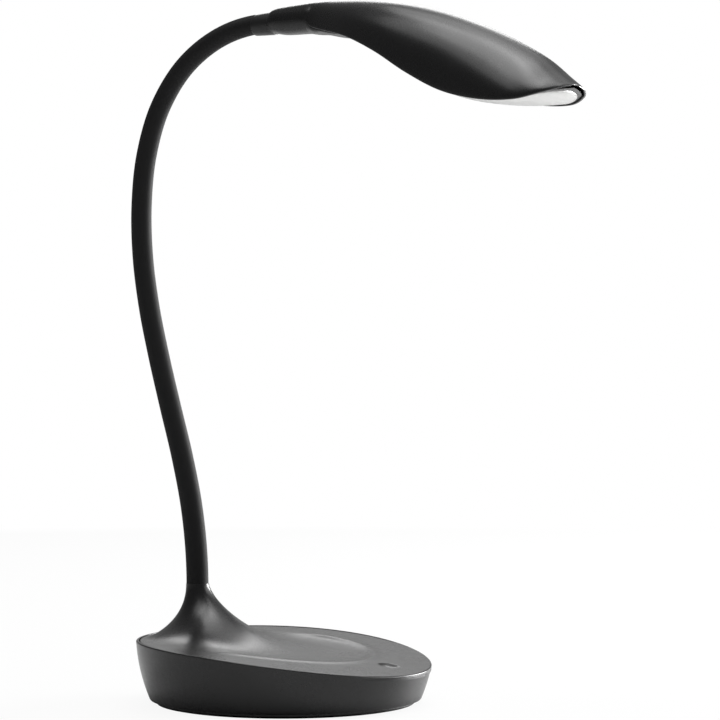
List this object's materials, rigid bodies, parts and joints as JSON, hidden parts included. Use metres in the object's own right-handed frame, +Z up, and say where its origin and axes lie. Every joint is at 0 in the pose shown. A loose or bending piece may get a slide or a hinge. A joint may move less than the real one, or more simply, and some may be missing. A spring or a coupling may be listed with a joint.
{
  "type": "gooseneck desk lamp",
  "caption": "Desk lamp with a weighted round base, a bendable gooseneck in a smooth sleeve and a leaf-shaped LED head with an opal lens.",
  "frame": {"origin": "centre of the foot pad on the table", "axes": "+X to the front, under the head; +Z up; +Y to the left when seen from behind the neck"},
  "size_m": [0.2594, 0.1544, 0.3615],
  "materials": {
    "soft_touch": "matte",
    "sleeve_rubber": "satin",
    "foot_rubber": "matte",
    "bezel_plastic": "satin",
    "opal_lens": "gloss",
    "white_reflector": "matte",
    "fastener_steel": "satin",
    "neck_steel": "satin",
    "ballast_iron": "matte",
    "circuit_board": "satin",
    "board_white": "satin",
    "moulded_black": "satin",
    "led_phosphor": "satin",
    "spreader_alloy": "satin",
    "contact_brass": "satin",
    "wire_cover": "satin"
  },
  "bodies": {
    "base": {"base_shell": "soft_touch", "base_top_cover": "soft_touch", "base_bottom_cover": "soft_touch", "foot_pad": "foot_rubber", "base_screws": "fastener_steel", "ballast_weight": "ballast_iron", "ballast_screws": "fastener_steel", "control_board": "circuit_board", "board_parts": "moulded_black", "board_spacers": "board_white", "board_screws": "fastener_steel", "touch_pad": "contact_brass", "touch_lead": "wire_cover", "power_inlet": "moulded_black", "inlet_wires": "wire_cover", "neck_anchor": "neck_steel", "anchor_washer": "fastener_steel", "anchor_nut": "fastener_steel", "base_neck_wires": "wire_cover", "neck_core_00": "neck_steel", "neck_sleeve_00": "sleeve_rubber"},
    "link_01": {"neck_core_01": "neck_steel", "neck_sleeve_01": "sleeve_rubber"},
    "link_02": {"neck_core_02": "neck_steel", "neck_sleeve_02": "sleeve_rubber"},
    "link_03": {"neck_core_03": "neck_steel", "neck_sleeve_03": "sleeve_rubber"},
    "link_04": {"neck_core_04": "neck_steel", "neck_sleeve_04": "sleeve_rubber"},
    "link_05": {"neck_core_05": "neck_steel", "neck_sleeve_05": "sleeve_rubber"},
    "link_06": {"neck_core_06": "neck_steel", "neck_sleeve_06": "sleeve_rubber"},
    "link_07": {"neck_core_07": "neck_steel", "neck_sleeve_07": "sleeve_rubber"},
    "link_08": {"neck_core_08": "neck_steel", "neck_sleeve_08": "sleeve_rubber"},
    "link_09": {"neck_core_09": "neck_steel", "neck_sleeve_09": "sleeve_rubber"},
    "link_10": {"neck_core_10": "neck_steel", "neck_sleeve_10": "sleeve_rubber"},
    "link_11": {"neck_core_11": "neck_steel", "neck_sleeve_11": "sleeve_rubber"},
    "head": {"neck_core_12": "neck_steel", "neck_sleeve_12": "sleeve_rubber", "neck_collar": "moulded_black", "head_ferrule": "neck_steel", "ferrule_bush": "moulded_black", "head_shell": "soft_touch", "lower_cover": "soft_touch", "lens_bezel": "bezel_plastic", "lens": "opal_lens", "reflector": "white_reflector", "led_board": "board_white", "leds": "led_phosphor", "heat_spreader": "spreader_alloy", "led_standoffs": "fastener_steel", "led_screws": "fastener_steel", "head_wires": "wire_cover"}
  },
  "joints": [
    {"name": "lower_pitch", "type": "hinge", "parent": "base", "child": "link_01", "pos_m": [-0.05199, 0, 0.07399], "axis": [0, 1, 0], "range_deg": [-12, 10]},
    {"name": "lower_side", "type": "hinge", "parent": "link_01", "child": "link_02", "pos_m": [-0.05504, 0, 0.10081], "axis": [-0.9877, 0, -0.1564], "range_deg": [-10, 10]},
    {"name": "lower_pitch_b", "type": "hinge", "parent": "link_02", "child": "link_03", "pos_m": [-0.06066, 0, 0.1272], "axis": [0, 1, 0], "range_deg": [-13, 11]},
    {"name": "lower_side_b", "type": "hinge", "parent": "link_03", "child": "link_04", "pos_m": [-0.06764, 0, 0.15328], "axis": [-0.9659, 0, -0.2588], "range_deg": [-11, 11]},
    {"name": "lower_pitch_c", "type": "hinge", "parent": "link_04", "child": "link_05", "pos_m": [-0.0744, 0, 0.17942], "axis": [0, 1, 0], "range_deg": [-13, 11]},
    {"name": "lower_side_c", "type": "hinge", "parent": "link_05", "child": "link_06", "pos_m": [-0.08025, 0, 0.20578], "axis": [-0.9816, 0, -0.1908], "range_deg": [-11, 11]},
    {"name": "upper_pitch", "type": "hinge", "parent": "link_06", "child": "link_07", "pos_m": [-0.084, 0, 0.23251], "axis": [0, 1, 0], "range_deg": [-18, 12]},
    {"name": "upper_side", "type": "hinge", "parent": "link_07", "child": "link_08", "pos_m": [-0.08471, 0, 0.25948], "axis": [-0.9994, 0, 0.0349], "range_deg": [-14, 14]},
    {"name": "upper_pitch_b", "type": "hinge", "parent": "link_08", "child": "link_09", "pos_m": [-0.08166, 0, 0.28628], "axis": [0, 1, 0], "range_deg": [-19, 13]},
    {"name": "upper_side_b", "type": "hinge", "parent": "link_09", "child": "link_10", "pos_m": [-0.07311, 0, 0.31181], "axis": [-0.8988, 0, 0.4384], "range_deg": [-15, 15]},
    {"name": "upper_pitch_c", "type": "hinge", "parent": "link_10", "child": "link_11", "pos_m": [-0.05732, 0, 0.33354], "axis": [0, 1, 0], "range_deg": [-19, 13]},
    {"name": "upper_side_c", "type": "hinge", "parent": "link_11", "child": "head", "pos_m": [-0.0347, 0, 0.34795], "axis": [-0.3584, 0, 0.9336], "range_deg": [-15, 15]}
  ],
  "couplings": [
    {"joint": "lower_pitch_b", "follows": "lower_pitch", "ratio": 1},
    {"joint": "lower_side_b", "follows": "lower_side", "ratio": 1},
    {"joint": "lower_pitch_c", "follows": "lower_pitch", "ratio": 1},
    {"joint": "lower_side_c", "follows": "lower_side", "ratio": 1},
    {"joint": "upper_pitch_b", "follows": "upper_pitch", "ratio": 1},
    {"joint": "upper_side_b", "follows": "upper_side", "ratio": 1},
    {"joint": "upper_pitch_c", "follows": "upper_pitch", "ratio": 1},
    {"joint": "upper_side_c", "follows": "upper_side", "ratio": 1}
  ]
}
